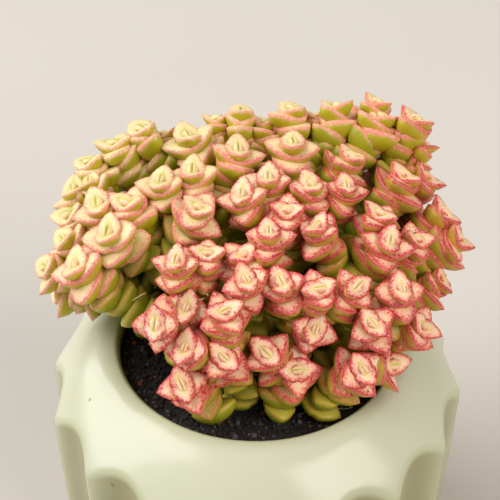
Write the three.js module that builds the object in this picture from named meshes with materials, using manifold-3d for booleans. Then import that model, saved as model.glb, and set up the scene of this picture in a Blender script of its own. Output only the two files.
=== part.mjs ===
// Potted tom thumb crassula: a fluted celadon pot, its grit soil, and a domed crown of leafy stems.
// Lengths are in millimetres. The origin is the centre of the pot's foot, +Z is up and -Y is the front.

import * as THREE from "three";
import { mergeVertices } from "three/addons/utils/BufferGeometryUtils.js";
import Module from "manifold-3d";

const wasm = await Module();
wasm.setup();

// Pot
const POT_HEIGHT = 62;
const OPENING_RADIUS = 30;
const LIP_OUTER_RADIUS = 33;
const LIP_ROUNDING = 1;
const LIP_DEPTH = 6;
const RIDGE_RADIUS = 46.5;
const SHOULDER_DROP = 12;
const SHOULDER_POWER = 1.5;
const SHOULDER_STEPS = [0.7, 0.35, 0];
const WALL_TAPER = 2;
const WALL_WAIST_TAPER = 0.8;
const WALL_WAIST_HEIGHT = 28;
const WALL_START = 7;
const FLUTE_COUNT = 16;
const FLUTE_DEPTH = 3;
const FLUTE_PHASE = 62;
const FLUTE_SIDES = 4;
const CAVITY_RADIUS = 38;
const CAVITY_TOP_DROP = 17;
const FLOOR_TOP = 7;
const FLOOR_ROUNDING = 5;
const FOOT_HEIGHT = 3;
const FOOT_INNER_RADIUS = 34;
const FOOT_OUTER_RADIUS = 39;
const FOOT_BEVEL = 1;
const DRAIN_RADIUS = 5;

// Soil
const SOIL_DROP = 4.5;
const SOIL_SEGMENTS = 20;
const SOIL_RINGS = 5;
const GRIT_RELIEF = 0.7;
const FIT_GAP = 0.35;
const HOLE_SIDES = 5;
const HOLE_CLEAR_ABOVE = 3;

// Crown of rosettes, a rounded box above the pot
const CROWN_CENTRE = new THREE.Vector3(-1.2, 7, POT_HEIGHT + 10);
const CROWN_REACH = new THREE.Vector3(43, 33.5, 27);
const CROWN_SKIRT = 14;
const CROWN_POWER = 2.8;
const CROWN_LEAN = 0.13;
const CROWN_SEARCH = 70;
const CROWN_SEARCH_STEP = 0.25;
const CROWN_OPENING = 100;
const UPWARD_PULL = 0.8;

// Leafy stems
const STEM_COUNT = 36;
const STEM_SPREAD = 26;
const STEM_RADIUS = 1;
const STEM_BURIED = 5;
const STEM_STEP = 11;
const FORK_AT = 0.5;
const CURVE_PULL = 0.4;
const CURVE_DIVISIONS = 80;

// Leaf pairs from the bud down: distance from the tip, leaf length, half width and rise of the leaf tip
const CROWN_PAIRS = [
  { down: 0.9, length: 2.4, half: 1.9, rise: 1.5 },
  { down: 2.2, length: 4.3, half: 3.5, rise: 1.4 },
  { down: 4.1, length: 5.6, half: 4.6, rise: 1.0 },
  { down: 6.6, length: 5.7, half: 4.6, rise: 0.6 },
  { down: 9.4, length: 5.5, half: 4.2, rise: 0.1 },
];
const OLD_PAIR = { length: 5.2, half: 3.8, rise: -0.2 };
const OLD_PAIR_STEP = 3.2;
const OLD_PAIRS_ON_MAIN = 4;
const OLD_PAIRS_ON_BRANCH = 2;
const BUD_DEPTH = 4;
const BUD_TOP = 0.3;
const SIDE_DROP = -0.3;
const KEEL_DEPTH = 2.3;
const WAIST_RADIUS = 1.3;
const WAIST_ABOVE_PAIR = 0.5;
const CLOSE_PAIRS = 3.3;

// Room that leaves keep: to other stems, to the shoots of their own stem, to the pot and soil
const NODE_GAP = 0.4;
const FORK_OVERLAP = 0.2;
const POT_CLEARANCE = 0.8;
const SAMPLE_STEP = 1.2;
const SMALLEST_LEAF = 2.7;
const SHORTEST_PART = 0.25;
const TRIM_STEP = 0.07;

// Stars in the picture: column and row of the middle, direction of one leaf tip counted from the right in
// degrees, and how far the star lies behind the crown's skin in millimetres
const SEEN_STARS = [
  [181, 385, 21, 0], [184, 347, -16, 1], [154, 323, -4, 0], [224, 357, 49, 1], [225, 309, 118, 0],
  [249, 277, 20, 0], [279, 280, 13, 1], [320, 286, 109, 0], [186, 306, -14, 4], [175, 258, -11, 0],
  [211, 250, 90, 2], [243, 250, -40, 2], [198, 204, 45, 0], [241, 190, 175, 0], [286, 211, 77, 0],
  [269, 228, 0, 0], [315, 222, -25, 0], [266, 352, 44, 3], [297, 370, -80, 4], [316, 329, -23, 4],
  [358, 285, -42, 0], [403, 286, 3, 0], [427, 325, 61, 0], [374, 322, 33, 0], [365, 370, 34, 0],
  [396, 364, 95, 4], [391, 238, -14, 0], [420, 236, -70, 2], [450, 213, 10, 0], [461, 233, -90, 0],
  [381, 210, 40, 1], [408, 172, 20, 0], [430, 174, 95, 3], [347, 182, 0, 0], [312, 181, 20, 0],
  [268, 174, -5, 0], [238, 145, 5, 0], [293, 138, 0, 0], [241, 107, 0, 0], [292, 104, 10, 0],
  [338, 103, 20, 0], [383, 112, 0, 0], [418, 115, 10, 0], [187, 131, 10, 0], [140, 124, 20, 0],
  [110, 140, 60, 0], [160, 176, -2, 0], [192, 167, 0, 1], [72, 184, 30, 0], [66, 208, 70, 0],
  [97, 200, 20, 1], [124, 199, 60, 2], [106, 229, 5, 0], [60, 238, 45, 0], [72, 262, 10, 0],
  [43, 262, 60, 0], [86, 160, 45, 0],
];

// Viewpoint of the picture
const PICTURE_SIZE = 500;
const VIEW_FIELD = 20;
const VIEW_ELEVATION = 39.3;
const VIEW_DISTANCE = 299;
const VIEW_TARGET = new THREE.Vector3(-1.2, 0, POT_HEIGHT + 25.3);

// Stars that the picture hides: an even lattice over the far side of the crown
const LATTICE_POINTS = 300;
const LATTICE_LOW = -0.45;
const STAR_SPACING = 9;
const HIDDEN_FACING = 0.5;
const HIDDEN_FRONT = 3;
const ELBOW_ROOM = 7.2;
const ELBOW_ROUNDS = 12;
const ELBOW_SHARE = 0.25;
const GOLDEN_ANGLE = Math.PI * (3 - Math.sqrt(5));

const WELD = 1e-4;
const soilTop = POT_HEIGHT - SOIL_DROP;
const up = new THREE.Vector3(0, 0, 1);
const radians = THREE.MathUtils.degToRad;

const celadon = new THREE.MeshStandardMaterial({ color: 0xcdd0b0, roughness: 0.2, metalness: 0 });
const grit = new THREE.MeshStandardMaterial({ color: 0x2b2628, roughness: 0.95, metalness: 0 });
const leaf = new THREE.MeshStandardMaterial({ color: 0xe08c7d, roughness: 0.5, metalness: 0 });

// A repeatable draw between 0 and 1 for item number k
function draw(k) {
  const value = Math.abs(Math.sin((k + 1) * 12.9898) * 43758.5453);
  return value - Math.floor(value);
}

function indexed(positions, faces) {
  const geometry = new THREE.BufferGeometry();
  geometry.setAttribute("position", new THREE.Float32BufferAttribute(positions, 3));
  geometry.setIndex(faces);
  return geometry;
}

// Pot: one outline turned round the axis, its edge drawn in where a flute is cut straight down
function shoulderHeight(radius) {
  const part = (radius - LIP_OUTER_RADIUS) / (RIDGE_RADIUS - LIP_OUTER_RADIUS);
  return POT_HEIGHT - SHOULDER_DROP * Math.max(part, 0) ** SHOULDER_POWER;
}

function ridgeRadius(angle) {
  const pitch = (2 * Math.PI) / FLUTE_COUNT;
  const turns = (angle - radians(FLUTE_PHASE)) / pitch;
  const across = turns - Math.floor(turns);
  return RIDGE_RADIUS - FLUTE_DEPTH * 4 * across * (1 - across);
}

function potOutline(angle) {
  const edge = ridgeRadius(angle);
  const outline = [
    [DRAIN_RADIUS, FOOT_HEIGHT],
    [FOOT_INNER_RADIUS - FOOT_BEVEL, FOOT_HEIGHT],
    [FOOT_INNER_RADIUS, 0],
    [FOOT_OUTER_RADIUS, 0],
    [FOOT_OUTER_RADIUS + FOOT_BEVEL, FOOT_HEIGHT],
    [edge - WALL_TAPER, WALL_START],
    [edge - WALL_WAIST_TAPER, WALL_WAIST_HEIGHT],
    [edge, shoulderHeight(edge)],
  ];
  for (const part of SHOULDER_STEPS) {
    const radius = LIP_OUTER_RADIUS + (edge - LIP_OUTER_RADIUS) * part;
    outline.push([radius, shoulderHeight(radius)]);
  }
  outline.push(
    [OPENING_RADIUS + LIP_ROUNDING, POT_HEIGHT],
    [OPENING_RADIUS, POT_HEIGHT - LIP_ROUNDING * 2],
    [OPENING_RADIUS, POT_HEIGHT - LIP_DEPTH],
    [CAVITY_RADIUS, POT_HEIGHT - CAVITY_TOP_DROP],
    [CAVITY_RADIUS, FLOOR_TOP + FLOOR_ROUNDING],
    [CAVITY_RADIUS - FLOOR_ROUNDING, FLOOR_TOP],
    [DRAIN_RADIUS, FLOOR_TOP],
  );
  return outline;
}

function potGeometry() {
  const turns = FLUTE_COUNT * FLUTE_SIDES;
  const outlines = [];
  const positions = [];
  for (let turn = 0; turn < turns; turn++) {
    const angle = (2 * Math.PI * turn) / turns + radians(FLUTE_PHASE);
    const outline = potOutline(angle);
    outlines.push(outline);
    for (const [radius, height] of outline) {
      positions.push(radius * Math.sin(angle), -radius * Math.cos(angle), height);
    }
  }
  const rows = outlines[0].length;
  const at = (turn, row) => (turn % turns) * rows + (row % rows);
  const faces = [];
  for (let turn = 0; turn < turns; turn++) {
    for (let row = 0; row < rows; row++) {
      faces.push(at(turn, row), at(turn + 1, row), at(turn, row + 1));
      faces.push(at(turn, row + 1), at(turn + 1, row), at(turn + 1, row + 1));
    }
  }
  return indexed(positions, faces);
}

// Closed meshes become solids for joining and cutting, and solids become meshes again
function solidOf(geometry) {
  const bare = geometry.clone();
  bare.deleteAttribute("normal");
  bare.deleteAttribute("uv");
  const merged = mergeVertices(bare, WELD);
  const mesh = new wasm.Mesh({
    numProp: 3,
    vertProperties: new Float32Array(merged.attributes.position.array),
    triVerts: new Uint32Array(merged.index.array),
  });
  return new wasm.Manifold(mesh);
}

function geometryOf(solid) {
  const mesh = solid.getMesh();
  const positions = [];
  for (let k = 0; k < mesh.vertProperties.length; k += mesh.numProp) {
    positions.push(mesh.vertProperties[k], mesh.vertProperties[k + 1], mesh.vertProperties[k + 2]);
  }
  return indexed(positions, Array.from(mesh.triVerts));
}

// The largest body of a joined solid, without the hollows that joining seals
function outerBody(solid) {
  const bodies = solid.decompose();
  return bodies.reduce((best, body) => (body.volume() > best.volume() ? body : best));
}

// The picture's rays
function viewAxes() {
  const tilt = radians(VIEW_ELEVATION);
  const back = new THREE.Vector3(0, -Math.cos(tilt), Math.sin(tilt));
  const right = new THREE.Vector3(1, 0, 0);
  const rise = new THREE.Vector3().crossVectors(back, right);
  const eye = VIEW_TARGET.clone().addScaledVector(back, VIEW_DISTANCE);
  return { back, right, rise, eye };
}

const view = viewAxes();

function rayThrough(column, row) {
  const half = PICTURE_SIZE / 2;
  const focal = half / Math.tan(radians(VIEW_FIELD) / 2);
  return view.back.clone().negate()
    .addScaledVector(view.right, (column - half) / focal)
    .addScaledVector(view.rise, (half - row) / focal)
    .normalize();
}

// The crown's skin: below 1 inside, 1 on the skin, above 1 outside
function crownParts(point) {
  const offset = point.clone().sub(CROWN_CENTRE);
  offset.z -= CROWN_LEAN * offset.y;
  const height = offset.z > 0 ? CROWN_REACH.z : CROWN_SKIRT;
  return [offset.x / CROWN_REACH.x, offset.y / CROWN_REACH.y, offset.z / height];
}

function crownLevel(point) {
  return crownParts(point).reduce((sum, part) => sum + Math.abs(part) ** CROWN_POWER, 0);
}

function crownNormal(point) {
  const parts = crownParts(point);
  const sizes = [CROWN_REACH.x, CROWN_REACH.y, parts[2] > 0 ? CROWN_REACH.z : CROWN_SKIRT];
  const slopes = parts.map((part, k) => (Math.sign(part) * Math.abs(part) ** (CROWN_POWER - 1)) / sizes[k]);
  slopes[1] -= CROWN_LEAN * slopes[2];
  return new THREE.Vector3(...slopes).normalize();
}

function growthAxis(point) {
  return crownNormal(point).addScaledVector(up, UPWARD_PULL).normalize();
}

function pointOnCrown(column, row, depth) {
  const ray = rayThrough(column, row);
  const farthest = VIEW_DISTANCE + CROWN_SEARCH;
  let nearest = 0;
  let lowest = Infinity;
  for (let along = VIEW_DISTANCE - CROWN_SEARCH; along < farthest; along += CROWN_SEARCH_STEP) {
    const level = crownLevel(view.eye.clone().addScaledVector(ray, along));
    if (level < lowest) {
      lowest = level;
      nearest = along;
    }
    if (level < 1) break;
  }
  return view.eye.clone().addScaledVector(ray, nearest + depth);
}

// The sideways direction, square to the axis, that the picture shows at an angle from its right
function sidewaysInPicture(axis, angle) {
  const first = new THREE.Vector3().crossVectors(axis, view.right).normalize();
  const second = new THREE.Vector3().crossVectors(axis, first).normalize();
  const a = [first.dot(view.right), first.dot(view.rise)];
  const b = [second.dot(view.right), second.dot(view.rise)];
  const want = [Math.cos(radians(angle)), Math.sin(radians(angle))];
  const area = a[0] * b[1] - a[1] * b[0];
  const alongFirst = (want[0] * b[1] - want[1] * b[0]) / area;
  const alongSecond = (a[0] * want[1] - a[1] * want[0]) / area;
  return first.multiplyScalar(alongFirst).addScaledVector(second, alongSecond).normalize();
}

function seenStars() {
  return SEEN_STARS.map(([column, row, angle, depth]) => {
    const tip = pointOnCrown(column, row, depth);
    const axis = growthAxis(tip);
    return { tip, axis, side: sidewaysInPicture(axis, angle) };
  });
}

// Stars that crowd each other move apart a little
function spreadOut(stars) {
  for (let round = 0; round < ELBOW_ROUNDS; round++) {
    for (let a = 0; a < stars.length; a++) {
      for (let b = a + 1; b < stars.length; b++) {
        const apart = stars[b].tip.clone().sub(stars[a].tip);
        const lack = ELBOW_ROOM - apart.length();
        if (lack <= 0) continue;
        apart.setLength(lack * ELBOW_SHARE);
        stars[b].tip.add(apart);
        stars[a].tip.sub(apart);
      }
    }
  }
  return stars;
}

function hiddenStars(seen) {
  const found = [];
  for (let k = 0; k < LATTICE_POINTS; k++) {
    const rise = 1 - ((k + 0.5) / LATTICE_POINTS) * (1 - LATTICE_LOW);
    const flat = Math.sqrt(1 - rise * rise);
    const turn = k * GOLDEN_ANGLE;
    const direction = new THREE.Vector3(flat * Math.cos(turn), flat * Math.sin(turn), rise);
    direction.multiply(CROWN_REACH);
    if (rise < 0) direction.z = rise * CROWN_SKIRT;
    direction.z += CROWN_LEAN * direction.y;
    const level = crownLevel(CROWN_CENTRE.clone().add(direction));
    const tip = CROWN_CENTRE.clone().addScaledVector(direction, level ** (-1 / CROWN_POWER));
    if (tip.y < HIDDEN_FRONT || crownNormal(tip).dot(view.back) > HIDDEN_FACING) continue;
    if ([...seen, ...found].some((star) => star.tip.distanceTo(tip) < STAR_SPACING)) continue;
    const axis = growthAxis(tip);
    const side = new THREE.Vector3().crossVectors(axis, view.right).normalize();
    side.applyAxisAngle(axis, 2 * Math.PI * draw(k));
    found.push({ tip, axis, side });
  }
  return found;
}

// Each star grows from the nearest stem foot, with the crown's plan drawn in to the soil's
function stemFeet() {
  const feet = [];
  for (let k = 0; k < STEM_COUNT; k++) {
    const radius = STEM_SPREAD * Math.sqrt((k + 0.5) / STEM_COUNT);
    const turn = k * GOLDEN_ANGLE;
    feet.push(new THREE.Vector3(radius * Math.cos(turn), radius * Math.sin(turn), soilTop));
  }
  return feet;
}

function footPlan(tip) {
  const direction = tip.clone().sub(CROWN_CENTRE).divide(CROWN_REACH).normalize();
  const radius = (STEM_SPREAD * Math.acos(direction.z)) / radians(CROWN_OPENING);
  const turn = Math.atan2(direction.y, direction.x);
  return new THREE.Vector3(radius * Math.cos(turn), radius * Math.sin(turn), soilTop);
}

function plantStems() {
  const seen = spreadOut(seenStars());
  const stars = [...seen, ...hiddenStars(seen)];
  const stems = stemFeet().map((foot) => ({ foot, stars: [] }));
  for (const star of stars) {
    const plan = footPlan(star.tip);
    const stem = stems.reduce((best, each) =>
      each.foot.distanceTo(plan) < best.foot.distanceTo(plan) ? each : best);
    stem.stars.push({ ...star, spread: stem.foot.distanceTo(plan) });
  }
  return stems.filter((stem) => stem.stars.length > 0);
}

// A shoot's middle line, walked from its tip down
function shootLine(start, heading, star, isMain) {
  const reach = start.distanceTo(star.tip) * CURVE_PULL;
  const curve = new THREE.CubicBezierCurve3(
    start,
    start.clone().addScaledVector(heading, reach),
    star.tip.clone().addScaledVector(star.axis, -reach),
    star.tip,
  );
  curve.arcLengthDivisions = CURVE_DIVISIONS;
  const length = curve.getLength();
  const pointAt = (down) => curve.getPointAt(1 - Math.min(down / length, 1));
  const headingAt = (down) => curve.getTangentAt(1 - Math.min(down / length, 1));
  return { star, isMain, length, pointAt, headingAt };
}

// The star nearest above the foot ends the main shoot, and the other shoots fork from it
function stemLines(stem) {
  stem.stars.sort((a, b) => a.spread - b.spread);
  const [mainStar, ...others] = stem.stars;
  const main = shootLine(stem.foot, up, mainStar, true);
  const forkDown = main.length * FORK_AT;
  const fork = main.pointAt(forkDown);
  const heading = main.headingAt(forkDown);
  return [main, ...others.map((star) => shootLine(fork, heading, star, false))];
}

// Room for leaves: a leaf stays nearer its own shoot than any other, and clear of the pot and soil
function samplesOf(line) {
  const samples = [];
  for (let down = 0; down < line.length; down += SAMPLE_STEP) samples.push(line.pointAt(down));
  return samples;
}

function distanceToSamples(point, samples) {
  let nearest = Infinity;
  for (const sample of samples) nearest = Math.min(nearest, sample.distanceToSquared(point));
  return Math.sqrt(nearest);
}

function clearOfPot(point) {
  const radius = Math.hypot(point.x, point.y);
  if (radius < OPENING_RADIUS - POT_CLEARANCE) return point.z > soilTop + GRIT_RELIEF + POT_CLEARANCE;
  if (radius > RIDGE_RADIUS + POT_CLEARANCE) return true;
  return point.z > shoulderHeight(radius) + POT_CLEARANCE;
}

function hasRoom(point, room) {
  if (!clearOfPot(point)) return false;
  const own = distanceToSamples(point, room.own);
  if (own > distanceToSamples(point, room.siblings) - FORK_OVERLAP) return false;
  return own + NODE_GAP < distanceToSamples(point, room.others);
}

function leafPoint(centre, out, axis, length, rise, room) {
  for (let part = 1; part > SHORTEST_PART; part -= TRIM_STEP) {
    const point = centre.clone().addScaledVector(out, length * part).addScaledVector(axis, rise * part);
    if (hasRoom(point, room)) return point;
  }
  return centre.clone().addScaledVector(out, WAIST_RADIUS);
}

function pairsOn(line) {
  const pairs = [...CROWN_PAIRS];
  const oldPairs = line.isMain ? OLD_PAIRS_ON_MAIN : OLD_PAIRS_ON_BRANCH;
  for (let k = 1; k <= oldPairs; k++) {
    pairs.push({ ...OLD_PAIR, down: CROWN_PAIRS.at(-1).down + k * OLD_PAIR_STEP });
  }
  return pairs
    .map((pair, k) => ({ ...pair, turn: k % 2 }))
    .filter((pair) => pair.down < line.length - KEEL_DEPTH - WAIST_ABOVE_PAIR);
}

// A shoot is one closed skin over rings of four points: leaf pairs, each a quarter turn from the last, with
// a waist between them, and the bare stem below
function shootGeometry(line, room) {
  const rings = [];
  let side = line.star.side.clone();
  const crossAt = (down) => {
    const axis = line.headingAt(down);
    side = side.clone().addScaledVector(axis, -side.dot(axis)).normalize();
    const across = new THREE.Vector3().crossVectors(axis, side);
    const outs = [side, across, side.clone().negate(), across.clone().negate()];
    return { centre: line.pointAt(down), axis, outs };
  };
  const addWaist = (down, radius) => {
    const { centre, outs } = crossAt(down);
    rings.push(outs.map((out) => centre.clone().addScaledVector(out, radius)));
  };
  const pairRing = (pair) => {
    const { centre, axis, outs } = crossAt(pair.down);
    return outs.map((out, spoke) => {
      const isTip = spoke % 2 === pair.turn;
      const length = isTip ? pair.length : pair.half;
      const rise = isTip ? pair.rise : SIDE_DROP;
      return leafPoint(centre, out, axis, length, rise, room);
    });
  };
  let last = 0;
  for (const pair of pairsOn(line)) {
    const ring = pairRing(pair);
    const reach = Math.max(...ring.map((point) => point.distanceTo(line.pointAt(pair.down))));
    if (pair.down > BUD_DEPTH && reach < SMALLEST_LEAF) continue;
    if (last > 0 && pair.down - last < CLOSE_PAIRS) {
      addWaist(pair.down - WAIST_ABOVE_PAIR, WAIST_RADIUS);
    } else if (last > 0) {
      addWaist(last + KEEL_DEPTH, STEM_RADIUS);
      addWaist(pair.down - WAIST_ABOVE_PAIR, STEM_RADIUS);
    }
    rings.push(ring);
    last = pair.down;
  }
  last += KEEL_DEPTH;
  const steps = Math.max(Math.round((line.length - last) / STEM_STEP), 1);
  for (let step = 0; step <= steps; step++) {
    addWaist(last + ((line.length - last) * step) / steps, STEM_RADIUS);
  }
  if (line.isMain) rings.push(rings.at(-1).map((point) => point.clone().setZ(soilTop - STEM_BURIED)));
  const top = line.pointAt(0).addScaledVector(line.star.axis, -BUD_TOP);
  return skinOver(top, rings);
}

function skinOver(top, rings) {
  const positions = [...top.toArray()];
  for (const point of rings.flat()) positions.push(...point.toArray());
  const at = (ring, spoke) => 1 + ring * 4 + (spoke % 4);
  const end = rings.length - 1;
  const faces = [];
  for (let spoke = 0; spoke < 4; spoke++) {
    faces.push(0, at(0, spoke), at(0, spoke + 1));
    for (let ring = 0; ring < end; ring++) {
      faces.push(at(ring, spoke), at(ring + 1, spoke), at(ring, spoke + 1));
      faces.push(at(ring, spoke + 1), at(ring + 1, spoke), at(ring + 1, spoke + 1));
    }
  }
  faces.push(at(end, 0), at(end, 2), at(end, 1), at(end, 0), at(end, 3), at(end, 2));
  return indexed(positions, faces);
}

function plantSolids(stems) {
  const lines = stems.map(stemLines);
  const samples = lines.map((stem) => stem.map(samplesOf));
  return lines.map((stem, k) => {
    const others = samples.filter((_, other) => other !== k).flat(2);
    const shoots = stem.map((line, own) => {
      const siblings = samples[k].filter((_, other) => other !== own).flat();
      return solidOf(shootGeometry(line, { own: samples[k][own], siblings, others }));
    });
    return outerBody(shoots.reduce((whole, shoot) => whole.add(shoot)));
  });
}

// Soil: a grit-topped plug that fills the cavity, with a plain hole for each stem
function soilPlug() {
  const rim = OPENING_RADIUS - FIT_GAP;
  const wall = CAVITY_RADIUS - FIT_GAP;
  const outline = [
    [0, FLOOR_TOP + FIT_GAP],
    [wall - FLOOR_ROUNDING, FLOOR_TOP + FIT_GAP],
    [wall, FLOOR_TOP + FLOOR_ROUNDING + FIT_GAP],
    [wall, POT_HEIGHT - CAVITY_TOP_DROP - FIT_GAP],
    [rim, POT_HEIGHT - LIP_DEPTH - FIT_GAP],
  ];
  for (let ring = SOIL_RINGS - 1; ring >= 0; ring--) outline.push([(rim * ring) / (SOIL_RINGS - 1), soilTop]);
  const profile = outline.map(([radius, height]) => new THREE.Vector2(radius, height));
  const geometry = new THREE.LatheGeometry(profile, SOIL_SEGMENTS).rotateX(Math.PI / 2);
  geometry.deleteAttribute("normal");
  geometry.deleteAttribute("uv");
  return mergeVertices(geometry, WELD);
}

function soilGeometry(stems) {
  const plug = soilPlug();
  const points = plug.attributes.position;
  for (let k = 0; k < points.count; k++) {
    const isTop = Math.abs(points.getZ(k) - soilTop) < GRIT_RELIEF;
    if (isTop) points.setZ(k, soilTop + (draw(k) - 0.5) * GRIT_RELIEF);
  }
  const holeRadius = (STEM_RADIUS + FIT_GAP) / Math.cos(Math.PI / HOLE_SIDES);
  const holeBottom = soilTop - STEM_BURIED - FIT_GAP;
  const holeLength = STEM_BURIED + FIT_GAP + HOLE_CLEAR_ABOVE;
  let soil = solidOf(plug);
  for (const { foot } of stems) {
    const hole = new THREE.CylinderGeometry(holeRadius, holeRadius, holeLength, HOLE_SIDES);
    hole.rotateX(Math.PI / 2).translate(foot.x, foot.y, holeBottom + holeLength / 2);
    soil = soil.subtract(solidOf(hole));
  }
  return geometryOf(soil);
}

function named(name, geometry, material) {
  const mesh = new THREE.Mesh(geometry, material);
  mesh.name = name;
  return mesh;
}

const stems = plantStems();
const plant = new THREE.Group();
plant.add(named("pot", potGeometry(), celadon));
plant.add(named("soil", soilGeometry(stems), grit));
plantSolids(stems).forEach((solid, k) => {
  const number = String(k + 1).padStart(2, "0");
  plant.add(named(`leafy_stem_${number}`, geometryOf(solid), leaf));
});

export default plant;
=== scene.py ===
# Potted tom thumb crassula: a glazed fluted pot, grit soil and a domed crown of leafy stems.
# The plan is in millimetres and becomes metres where meshes are made. +Z is up and -Y is the front.

import math
import random
from dataclasses import dataclass

import bmesh
import bpy
import numpy as np
from mathutils import Matrix, Vector, noise


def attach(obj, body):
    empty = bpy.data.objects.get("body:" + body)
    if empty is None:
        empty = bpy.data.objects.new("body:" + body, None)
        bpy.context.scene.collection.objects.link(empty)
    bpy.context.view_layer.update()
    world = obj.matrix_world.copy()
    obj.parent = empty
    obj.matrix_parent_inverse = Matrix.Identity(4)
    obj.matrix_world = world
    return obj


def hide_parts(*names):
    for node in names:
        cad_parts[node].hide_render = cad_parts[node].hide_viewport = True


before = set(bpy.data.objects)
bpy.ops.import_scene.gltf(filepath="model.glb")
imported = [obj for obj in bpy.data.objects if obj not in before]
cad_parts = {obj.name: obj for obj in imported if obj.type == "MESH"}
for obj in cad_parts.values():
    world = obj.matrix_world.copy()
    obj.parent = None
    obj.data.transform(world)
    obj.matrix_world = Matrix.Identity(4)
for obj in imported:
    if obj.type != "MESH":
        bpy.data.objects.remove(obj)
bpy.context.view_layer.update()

MM = 0.001
UP = Vector((0, 0, 1))
GOLDEN_ANGLE = math.pi * (3 - math.sqrt(5))
TOUCHING = 0.01
POLE_RADIUS = 0.001
HASH_TURN = 12.9898
HASH_SCALE = 43758.5453

# Pot, outside from the lip down the shoulder to the arris, where the fluted wall begins, and inside
POT_HEIGHT = 62
OPENING_RADIUS = 30
LIP_OUTER_RADIUS = 33
LIP_CURVE_DROP = 2
LIP_STEPS = 6
LIP_DEPTH = 6
RIDGE_RADIUS = 46.5
SHOULDER_DROP = 12
SHOULDER_POWER = 1.5
SHOULDER_STEPS = 12
ARRIS_PART = 0.9
ARRIS_FALL = 1.8
ARRIS_STEPS = 5
WALL_TAPER = 2
WALL_WAIST_TAPER = 0.8
WALL_WAIST_HEIGHT = 28
WALL_START = 7
WALL_STEPS = 6
FLUTE_COUNT = 16
FLUTE_DEPTH = 3
FLUTE_PHASE = 62
FLUTE_SIDES = 14
RIDGE_SOFTNESS = 0.16
CAVITY_RADIUS = 38
CAVITY_TOP_DROP = 17
FLOOR_TOP = 7
FLOOR_ROUNDING = 5
FOOT_HEIGHT = 3
FOOT_INNER_RADIUS = 34
FOOT_OUTER_RADIUS = 39
FOOT_BEVEL = 1
DRAIN_RADIUS = 5

# How deep the glaze lies, together with painted shade on the wall below the shoulder: 0 on the shoulder, 1
# in the flutes, and past 1.5 the brown edge it has run off
LIP_POOL = 0.2
WALL_POOL_AND_SHADE = 0.45
CAVITY_POOL = 0.5
BROWN_EDGE = 1.9

# Soil and the loose chips of grit on it
SOIL_DROP = 4.5
SOIL_TOP = POT_HEIGHT - SOIL_DROP
SOIL_TURNS = 96
SOIL_RINGS = 30
SOIL_RELIEF = 0.5
SOIL_PATCH = 2.2
SOIL_FINE_SHARE = 0.6
SOIL_FINE_LAYER = 9
SOIL_TONE = 0.3
FIT_GAP = 0.35
GRAIN_SEED = 3
GRAIN_DOUBLINGS = 11
GRAIN_SIZES = (0.3, 0.75)
GRAIN_DRAWS = (0.75, 1.2)
GRAIN_JITTER = 0.4
GRAIN_LIFT = 0.2
GRAIN_MARGIN = 1

# Crown of rosettes, a rounded box above the pot
CROWN_CENTRE = Vector((-1.2, 7, POT_HEIGHT + 10))
CROWN_REACH = Vector((43, 33.5, 27))
CROWN_SKIRT = 14
CROWN_POWER = 2.8
CROWN_LEAN = 0.13
CROWN_SEARCH = 70
CROWN_SEARCH_STEP = 0.25
CROWN_OPENING = 100
UPWARD_PULL = 0.8

# Stems
STEM_COUNT = 36
STEM_SPREAD = 26
STEM_RADIUS = 1
STEM_TIP_PART = 0.75
STEM_BURIED = 4
STEM_SIDES = 8
STEM_RINGS = 12
STEM_TOP = 1.5
FORK_AT = 0.5
CURVE_PULL = 0.4
CURVE_DIVISIONS = 80

# Leaf pairs from the bud down: distance from the tip, then the leaf's length, half width, rise to its tip
# and thickness. The old pair repeats down the stem.
CROWN_PAIRS = (
    (0.6, 1.3, 2.0, 0.8, 1.4),
    (1.3, 4.1, 2.9, 1.6, 2.6),
    (2.7, 5.7, 3.9, 1.4, 3.5),
    (4.8, 6.6, 4.4, 1.0, 4.0),
    (7.5, 6.5, 4.3, 0.5, 3.9),
    (10.5, 5.8, 4.0, 0.2, 3.6),
)
OLD_PAIR = (5.2, 3.7, 0.0, 3.4)
OLD_PAIR_STEP = 3.3
BASE_CLEAR = 2.5
SMALLEST_LEAF = 2.3
BUD_DEPTH = 3
PAIR_SEGMENTS = 12
PAIR_RINGS = 10

# Form of a leaf: its outline, the waist where the two leaves of a pair join, its upper face and its keel
TIP_BLUNTNESS = 0.75
WAIST_DEPTH = 0.2
WAIST_WIDTH = 0.16
RISE_POWER = 1.3
LEAF_CUP = 0.35
LEAF_BULGE = 0.3
EDGE_FULLNESS = 0.4
KEEL_POWER = 0.6
BUD_POWER = 0.8
SLIT_DEPTH = 1.0
SLIT_WIDTH = 0.14
LIFT_SPARE = 0.2

# Draws that make each star and each pair differ: angles in degrees, the rest as parts of the usual size
LEAF_TAPERS = (1.1, 1.45)
SIZE_DRAWS = (0.95, 1.05)
OPENNESS_DRAWS = (0.7, 1.25)
LENGTH_DRAWS = (0.92, 1.06)
BUD_DRAWS = (0.7, 1.15)
PAIR_TWISTS = (7, 15)
PAIR_TILTS = (4, 9)

# Leaves are plumper towards the crown's back and left: where that starts, and over what distance it grows
PLUMP_BACK = (4, 20)
PLUMP_LEFT = (18, 16)
PLUMP_TAPER = 0.3
PLUMP_SIZE = 0.16

# Leaf colour: age grows down the stem and makes old leaves darker, partly as painted shade low in the crown,
# and the blush fades towards the crown's left and back, per millimetre
AGE_START = 1
AGE_DEPTH = 16
BLUSH_MIDDLE = 0.82
BLUSH_TO_RIGHT = 0.011
BLUSH_TO_BACK = -0.015
BLUSH_DRAW = 0.12
PAIR_BLUSH_DRAW = 0.08
BUD_BLUSH = 0.8
# Age given to a bud's slit, whose olive is painted shade in its groove
SLIT_SHADE_AGE = 0.8
SIDE_MARGIN_POWER = 1.5
TIP_MARGIN_POWER = 2.5
UNDERSIDE_REACH = 1.6

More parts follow.
